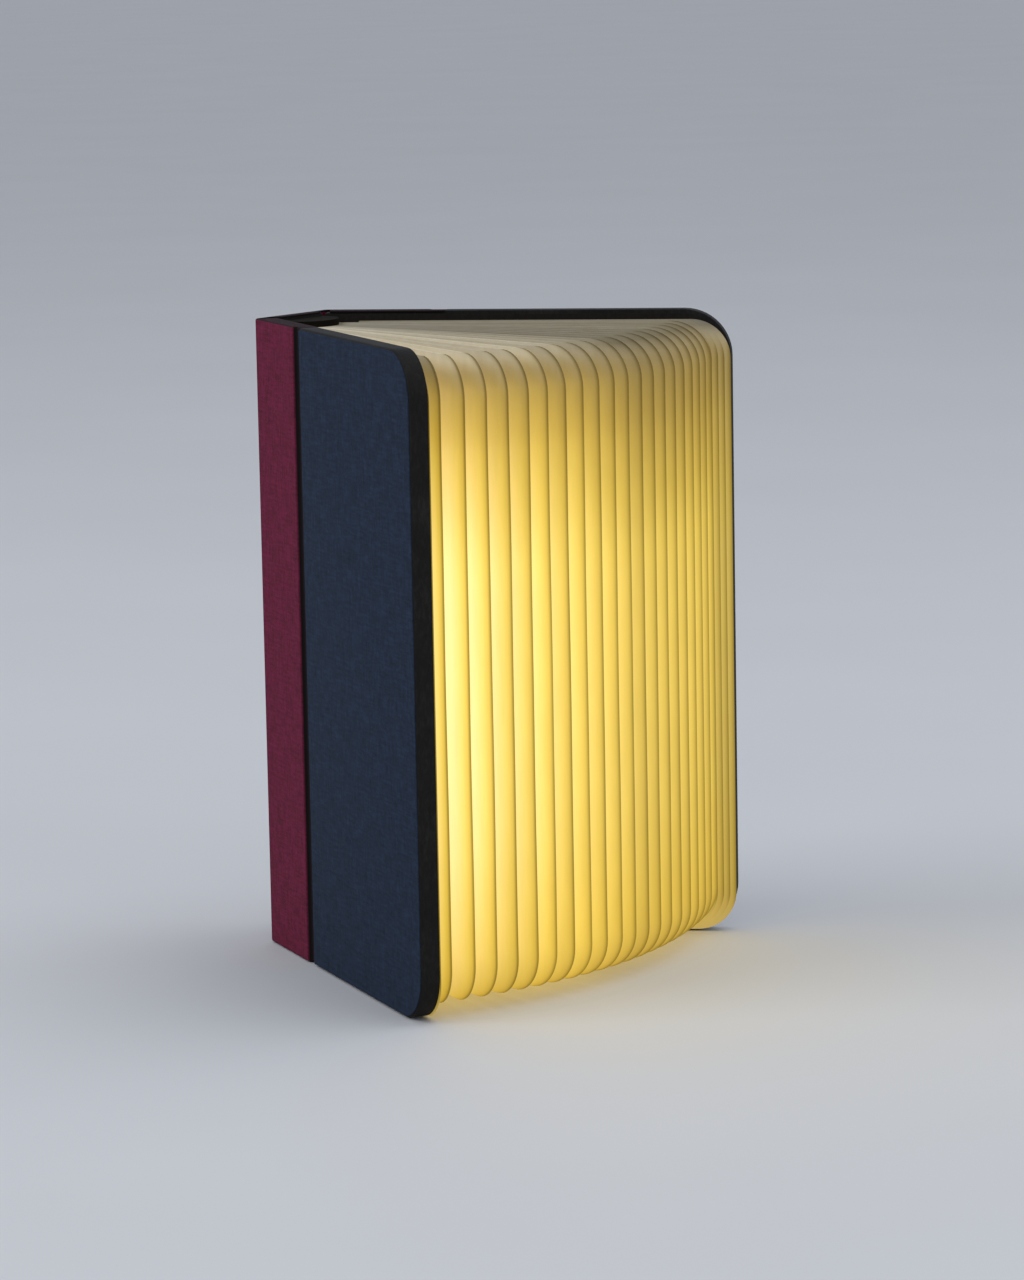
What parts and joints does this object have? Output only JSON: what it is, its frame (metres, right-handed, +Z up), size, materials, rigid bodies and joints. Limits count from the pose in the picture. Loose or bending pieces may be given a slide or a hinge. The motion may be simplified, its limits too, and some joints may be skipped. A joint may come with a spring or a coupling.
{
  "type": "folding book lamp",
  "caption": "Cloth-bound book lamp that stands open: two hinged covers and a fan of coupled paper pleats round a lit spine core.",
  "frame": {"origin": "on the table, at the middle of the spine's outer face, where the foot's flat face meets it", "axes": "+Z up along the spine, +Y from the spine towards the fore-edge, +X towards the front cover"},
  "size_m": [0.131, 0.104, 0.16],
  "materials": {
    "board": "black-edged stiff board, matt",
    "spine_cloth": "fine maroon book cloth",
    "cover_cloth": "fine navy book cloth",
    "lining": "black lining paper, matt",
    "paper": "warm white spun paper, lit from inside",
    "housing": "dark moulded plastic",
    "diffuser": "frosted, lit",
    "light_strip": "white solder mask",
    "diode": "yellow phosphor",
    "steel": "bright",
    "nickel": "nickel plate",
    "cell": "pouch foil",
    "red_lead": "insulated wire",
    "white_lead": "insulated wire",
    "circuit": "green solder mask",
    "clear": "clear rod",
    "chip": "moulded black"
  },
  "bodies": {
    "core": {"spine_board": "board", "spine_cloth": "spine_cloth", "core_housing": "housing", "diffuser": "diffuser", "top_end_cap": "housing", "bottom_end_cap": "housing", "light_strip": "light_strip", "leds": "diode", "strip_screws": "steel", "battery": "cell", "battery_leads": "red_lead", "charge_board": "circuit", "strip_leads": "white_lead", "charge_inlet": "steel", "charge_light": "clear", "cover_switch": "chip"},
    "front_cover": {"front_board": "board", "front_cloth": "cover_cloth", "front_spine_strip": "spine_cloth", "front_lining": "lining", "front_end_leaf": "paper", "front_magnets": "nickel", "trigger_magnet": "nickel"},
    "back_cover": {"back_board": "board", "back_cloth": "cover_cloth", "back_spine_strip": "spine_cloth", "back_lining": "lining", "back_end_leaf": "paper", "back_magnets": "nickel"},
    "pleat_01": {"pleat_01": "paper"},
    "pleat_02": {"pleat_02": "paper"},
    "pleat_03": {"pleat_03": "paper"},
    "pleat_04": {"pleat_04": "paper"},
    "pleat_05": {"pleat_05": "paper"},
    "pleat_06": {"pleat_06": "paper"},
    "pleat_07": {"pleat_07": "paper"},
    "pleat_08": {"pleat_08": "paper"},
    "pleat_09": {"pleat_09": "paper"},
    "pleat_10": {"pleat_10": "paper"},
    "pleat_11": {"pleat_11": "paper"},
    "pleat_12": {"pleat_12": "paper"},
    "pleat_13": {"pleat_13": "paper"},
    "pleat_14": {"pleat_14": "paper"},
    "pleat_15": {"pleat_15": "paper"},
    "pleat_16": {"pleat_16": "paper"},
    "pleat_17": {"pleat_17": "paper"},
    "pleat_18": {"pleat_18": "paper"},
    "pleat_19": {"pleat_19": "paper"},
    "pleat_20": {"pleat_20": "paper"}
  },
  "joints": [
    {"name": "front_cover_hinge", "type": "hinge", "parent": "core", "child": "front_cover", "pos_m": [0.0139, 0, 0], "axis": [0, 0, -1], "range_deg": [-29.6, 85]},
    {"name": "back_cover_hinge", "type": "hinge", "parent": "core", "child": "back_cover", "pos_m": [-0.0139, 0, 0], "axis": [0, 0, 1], "range_deg": [-29.6, 85]},
    {"name": "pleat_01_fold", "type": "hinge", "parent": "core", "child": "pleat_01", "pos_m": [0.00802, 0.00926, 0], "axis": [0, 0, -1], "range_deg": [-29.61, 85.01]},
    {"name": "pleat_02_fold", "type": "hinge", "parent": "core", "child": "pleat_02", "pos_m": [0.00718, 0.01037, 0], "axis": [0, 0, -1], "range_deg": [-26.49, 76.06]},
    {"name": "pleat_03_fold", "type": "hinge", "parent": "core", "child": "pleat_03", "pos_m": [0.00634, 0.01121, 0], "axis": [0, 0, -1], "range_deg": [-23.38, 67.11]},
    {"name": "pleat_04_fold", "type": "hinge", "parent": "core", "child": "pleat_04", "pos_m": [0.00549, 0.01187, 0], "axis": [0, 0, -1], "range_deg": [-20.26, 58.17]},
    {"name": "pleat_05_fold", "type": "hinge", "parent": "core", "child": "pleat_05", "pos_m": [0.00465, 0.0124, 0], "axis": [0, 0, -1], "range_deg": [-17.15, 49.22]},
    {"name": "pleat_06_fold", "type": "hinge", "parent": "core", "child": "pleat_06", "pos_m": [0.0038, 0.01281, 0], "axis": [0, 0, -1], "range_deg": [-14.03, 40.27]},
    {"name": "pleat_07_fold", "type": "hinge", "parent": "core", "child": "pleat_07", "pos_m": [0.00296, 0.01313, 0], "axis": [0, 0, -1], "range_deg": [-10.91, 31.33]},
    {"name": "pleat_08_fold", "type": "hinge", "parent": "core", "child": "pleat_08", "pos_m": [0.00211, 0.01337, 0], "axis": [0, 0, -1], "range_deg": [-7.8, 22.38]},
    {"name": "pleat_09_fold", "type": "hinge", "parent": "core", "child": "pleat_09", "pos_m": [0.00127, 0.01352, 0], "axis": [0, 0, -1], "range_deg": [-4.68, 13.43]},
    {"name": "pleat_10_fold", "type": "hinge", "parent": "core", "child": "pleat_10", "pos_m": [0.00042, 0.01359, 0], "axis": [0, 0, -1], "range_deg": [-1.57, 4.48]},
    {"name": "pleat_11_fold", "type": "hinge", "parent": "core", "child": "pleat_11", "pos_m": [-0.00042, 0.01359, 0], "axis": [0, 0, 1], "range_deg": [-1.57, 4.48]},
    {"name": "pleat_12_fold", "type": "hinge", "parent": "core", "child": "pleat_12", "pos_m": [-0.00127, 0.01352, 0], "axis": [0, 0, 1], "range_deg": [-4.68, 13.43]},
    {"name": "pleat_13_fold", "type": "hinge", "parent": "core", "child": "pleat_13", "pos_m": [-0.00211, 0.01337, 0], "axis": [0, 0, 1], "range_deg": [-7.8, 22.38]},
    {"name": "pleat_14_fold", "type": "hinge", "parent": "core", "child": "pleat_14", "pos_m": [-0.00296, 0.01313, 0], "axis": [0, 0, 1], "range_deg": [-10.91, 31.33]},
    {"name": "pleat_15_fold", "type": "hinge", "parent": "core", "child": "pleat_15", "pos_m": [-0.0038, 0.01281, 0], "axis": [0, 0, 1], "range_deg": [-14.03, 40.27]},
    {"name": "pleat_16_fold", "type": "hinge", "parent": "core", "child": "pleat_16", "pos_m": [-0.00465, 0.0124, 0], "axis": [0, 0, 1], "range_deg": [-17.15, 49.22]},
    {"name": "pleat_17_fold", "type": "hinge", "parent": "core", "child": "pleat_17", "pos_m": [-0.00549, 0.01187, 0], "axis": [0, 0, 1], "range_deg": [-20.26, 58.17]},
    {"name": "pleat_18_fold", "type": "hinge", "parent": "core", "child": "pleat_18", "pos_m": [-0.00634, 0.01121, 0], "axis": [0, 0, 1], "range_deg": [-23.38, 67.11]},
    {"name": "pleat_19_fold", "type": "hinge", "parent": "core", "child": "pleat_19", "pos_m": [-0.00718, 0.01037, 0], "axis": [0, 0, 1], "range_deg": [-26.49, 76.06]},
    {"name": "pleat_20_fold", "type": "hinge", "parent": "core", "child": "pleat_20", "pos_m": [-0.00802, 0.00926, 0], "axis": [0, 0, 1], "range_deg": [-29.61, 85.01]}
  ],
  "couplings": [
    {"joint": "pleat_01_fold", "follows": "front_cover_hinge", "ratio": 1},
    {"joint": "pleat_02_fold", "follows": "front_cover_hinge", "ratio": 0.89474},
    {"joint": "pleat_03_fold", "follows": "front_cover_hinge", "ratio": 0.78947},
    {"joint": "pleat_04_fold", "follows": "front_cover_hinge", "ratio": 0.68421},
    {"joint": "pleat_05_fold", "follows": "front_cover_hinge", "ratio": 0.57895},
    {"joint": "pleat_06_fold", "follows": "front_cover_hinge", "ratio": 0.47368},
    {"joint": "pleat_07_fold", "follows": "front_cover_hinge", "ratio": 0.36842},
    {"joint": "pleat_08_fold", "follows": "front_cover_hinge", "ratio": 0.26316},
    {"joint": "pleat_09_fold", "follows": "front_cover_hinge", "ratio": 0.1579},
    {"joint": "pleat_10_fold", "follows": "front_cover_hinge", "ratio": 0.052632},
    {"joint": "pleat_11_fold", "follows": "back_cover_hinge", "ratio": 0.052632},
    {"joint": "pleat_12_fold", "follows": "back_cover_hinge", "ratio": 0.1579},
    {"joint": "pleat_13_fold", "follows": "back_cover_hinge", "ratio": 0.26316},
    {"joint": "pleat_14_fold", "follows": "back_cover_hinge", "ratio": 0.36842},
    {"joint": "pleat_15_fold", "follows": "back_cover_hinge", "ratio": 0.47368},
    {"joint": "pleat_16_fold", "follows": "back_cover_hinge", "ratio": 0.57895},
    {"joint": "pleat_17_fold", "follows": "back_cover_hinge", "ratio": 0.68421},
    {"joint": "pleat_18_fold", "follows": "back_cover_hinge", "ratio": 0.78947},
    {"joint": "pleat_19_fold", "follows": "back_cover_hinge", "ratio": 0.89474},
    {"joint": "pleat_20_fold", "follows": "back_cover_hinge", "ratio": 1}
  ]
}
